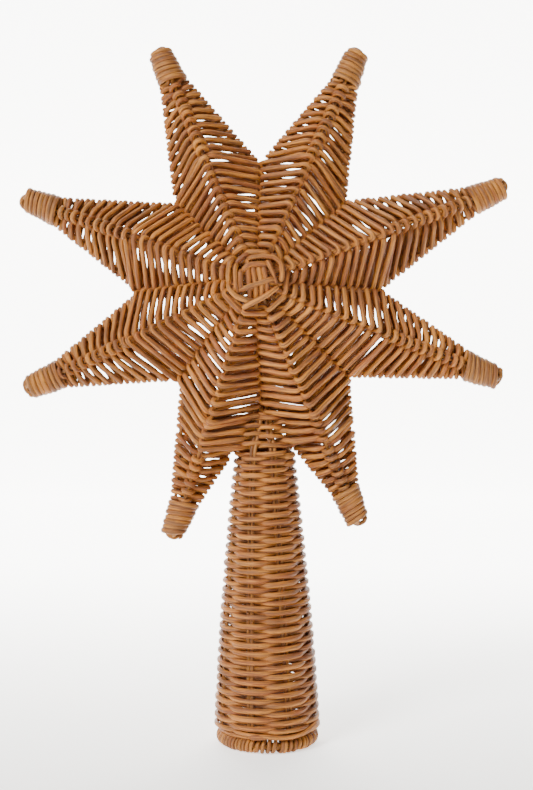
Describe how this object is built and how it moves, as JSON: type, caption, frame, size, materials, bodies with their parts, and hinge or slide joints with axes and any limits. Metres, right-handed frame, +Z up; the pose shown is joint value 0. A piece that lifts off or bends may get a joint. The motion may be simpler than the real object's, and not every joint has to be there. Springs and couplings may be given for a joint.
{
  "type": "rattan star tree topper",
  "caption": "Hollow woven rattan star with bound pointed arms on a tapered woven sleeve that slips over a tree's leader.",
  "frame": {"origin": "middle of the object's footprint, on the underside of the base hoop", "axes": "+Z up along the cone towards the star, +X to the right and -Y towards the viewer, as the star's front is seen"},
  "size_m": [0.2461, 0.0758, 0.3475],
  "materials": {
    "woven_rattan": "satin, stained honey brown rattan core",
    "wound_reed": "satin, fine honey brown reed",
    "rattan_stakes": "satin, light brown rattan stakes"
  },
  "bodies": {
    "root": {"star_body": "woven_rattan", "cone_sleeve": "woven_rattan", "base_hoop": "wound_reed", "tip_binding_1": "wound_reed", "tip_binding_2": "wound_reed", "tip_binding_3": "wound_reed", "tip_binding_4": "wound_reed", "tip_binding_5": "wound_reed", "tip_binding_6": "wound_reed", "tip_binding_7": "wound_reed", "tip_binding_8": "wound_reed", "hub_crossing_front": "rattan_stakes", "hub_crossing_back": "rattan_stakes"}
  },
  "joints": []
}
